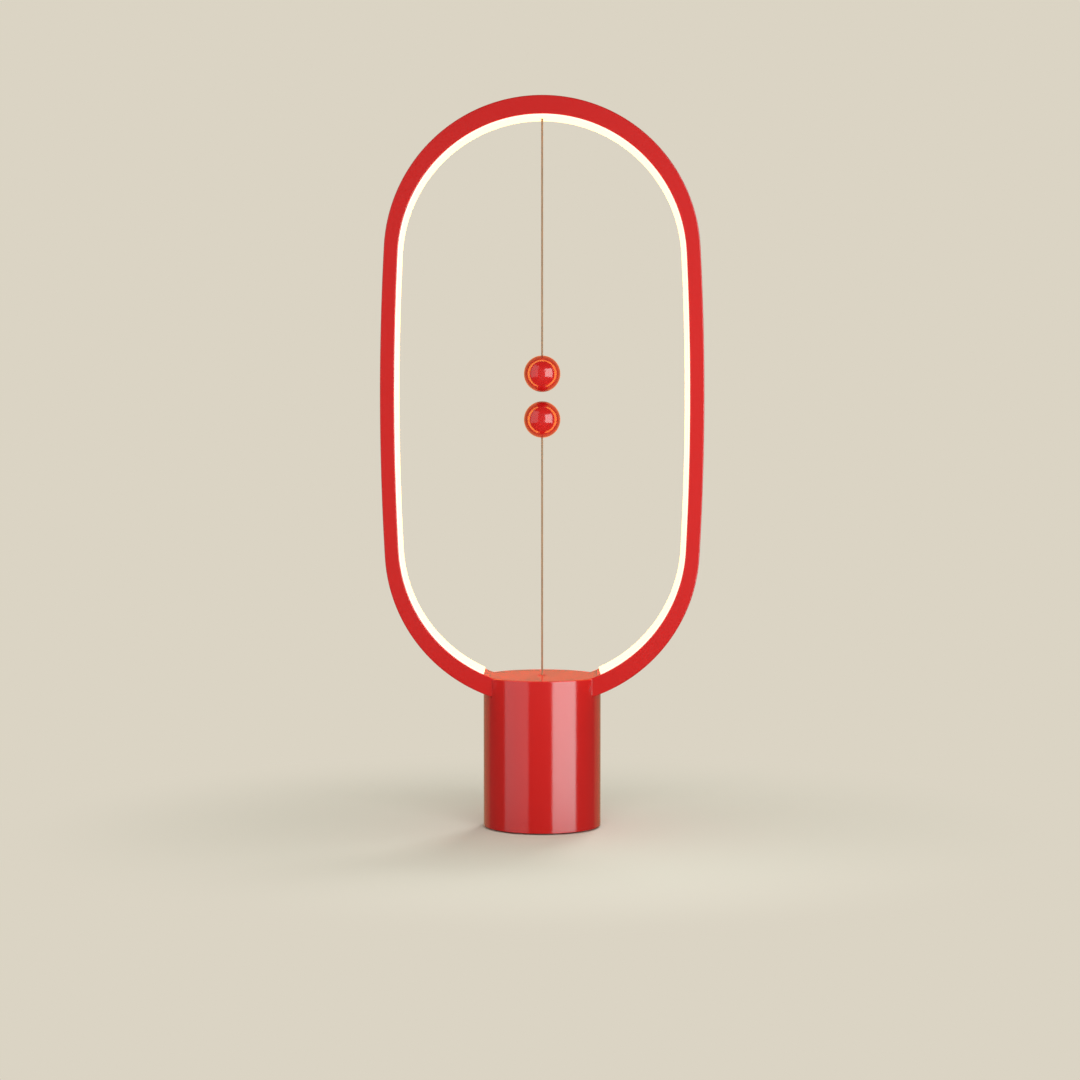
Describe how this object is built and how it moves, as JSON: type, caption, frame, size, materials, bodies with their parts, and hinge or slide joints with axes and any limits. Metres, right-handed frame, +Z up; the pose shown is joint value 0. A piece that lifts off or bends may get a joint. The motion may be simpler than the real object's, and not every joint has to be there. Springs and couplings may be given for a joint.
{
  "type": "magnetic balance lamp",
  "caption": "Free-standing lamp: a glowing oval ring in a round base, switched when a ball hung from the ring and a ball corded to the base draw together by magnets.",
  "frame": {"origin": "middle of the foot pad's underside, on the surface that the lamp stands on", "axes": "+Z up, +X across the ring to the right as seen from the front, -Y towards the front"},
  "size_m": [0.1762, 0.0646, 0.4],
  "materials": {
    "red_gloss": "smooth moulded ABS, red all through, high gloss",
    "red_inner": "moulded ABS, unpolished",
    "diffuser": "opal polycarbonate, lit warm white from behind",
    "cord": "fine braided cord, tan",
    "rubber": "matt foot rubber",
    "iron": "cast, blackened",
    "steel": "zinc-plated steel",
    "spring_steel": "drawn spring wire and strip",
    "grey_nylon": "moulded nylon",
    "black_plastic": "moulded, fine texture",
    "white_plastic": "white solder mask and moulded nylon",
    "lead": "soft insulation on stranded wire",
    "circuit_board": "glass-fibre board with green solder mask",
    "nickel": "nickel plate",
    "brass": "plain crimped brass"
  },
  "bodies": {
    "lamp_body": {"base_shell": "red_gloss", "top_cover": "red_gloss", "cord_eyelet": "red_gloss", "bottom_cover": "black_plastic", "foot_pad": "rubber", "ballast": "iron", "ballast_screw": "steel", "cover_screw_1": "steel", "cover_screw_2": "steel", "cover_screw_3": "steel", "cover_screw_4": "steel", "control_board": "circuit_board", "power_socket": "nickel", "lead_connector": "white_plastic", "board_screw_1": "steel", "board_screw_2": "steel", "board_screw_3": "steel", "ring_frame": "red_gloss", "light_diffuser": "diffuser", "led_strip_left": "white_plastic", "led_strip_right": "white_plastic", "cord_anchor": "grey_nylon", "upper_cord_end": "cord", "ring_saddle": "red_inner", "saddle_screw_1": "steel", "saddle_screw_2": "steel", "saddle_screw_3": "steel", "saddle_screw_4": "steel", "ring_screw_left": "steel", "ring_screw_right": "steel", "bracket_screw_front": "steel", "bracket_screw_back": "steel", "switch_bracket": "grey_nylon", "microswitch_body": "black_plastic", "return_spring": "spring_steel", "led_lead_left": "lead", "led_lead_right": "lead", "switch_lead": "lead"},
    "upper_swivel": {"upper_knot": "cord"},
    "upper_pendulum": {"upper_cord": "cord", "upper_ball": "red_gloss", "upper_ball_plug": "red_gloss", "upper_magnet": "nickel", "upper_crimp": "brass"},
    "plunger": {"switch_plunger": "grey_nylon", "plunger_clip": "spring_steel", "cord_tail": "cord"},
    "lower_swivel": {"lower_knot": "cord"},
    "lower_line": {"lower_cord": "cord"},
    "lower_weight": {"lower_ball": "red_gloss", "lower_ball_plug": "red_gloss", "lower_magnet": "nickel", "lower_crimp": "brass"},
    "lever": {"switch_lever": "spring_steel"},
    "button": {"switch_button": "white_plastic"}
  },
  "joints": [
    {"name": "upper_swing_side", "type": "hinge", "parent": "lamp_body", "child": "upper_swivel", "pos_m": [0, 0, 0.3893], "axis": [0, 1, 0], "range_deg": [-28, 28]},
    {"name": "upper_swing_fore", "type": "hinge", "parent": "upper_swivel", "child": "upper_pendulum", "pos_m": [0, 0, 0.3893], "axis": [1, 0, 0], "range_deg": [-55, 55]},
    {"name": "switch_pull", "type": "slide", "parent": "lamp_body", "child": "plunger", "axis": [0, 0, 1], "range_m": [-0.003, 0], "stiffness_N_per_m": 60, "springref_m": 0.003, "deforming": ["return_spring"]},
    {"name": "lower_lean_side", "type": "hinge", "parent": "plunger", "child": "lower_swivel", "pos_m": [0, 0, 0.0843], "axis": [0, 1, 0], "range_deg": [-15, 15], "stiffness_Nm_per_rad": 0.06},
    {"name": "lower_lean_fore", "type": "hinge", "parent": "lower_swivel", "child": "lower_line", "pos_m": [0, 0, 0.0843], "axis": [1, 0, 0], "range_deg": [-15, 15], "stiffness_Nm_per_rad": 0.06},
    {"name": "lower_ball_drop", "type": "slide", "parent": "lower_line", "child": "lower_weight", "axis": [0, 0, 1], "range_m": [-0.1265, 0], "deforming": ["lower_cord"]},
    {"name": "lever_swing", "type": "hinge", "parent": "lamp_body", "child": "lever", "pos_m": [0.019, 0, 0.0516], "axis": [0, 1, 0], "range_deg": [-12.7, 0]},
    {"name": "button_travel", "type": "slide", "parent": "lamp_body", "child": "button", "axis": [0, 0, 1], "range_m": [-0.00075, 0]}
  ],
  "couplings": [
    {"joint": "lever_swing", "follows": "switch_pull", "rad_per_m": 73},
    {"joint": "button_travel", "follows": "switch_pull", "ratio": 0.24}
  ]
}
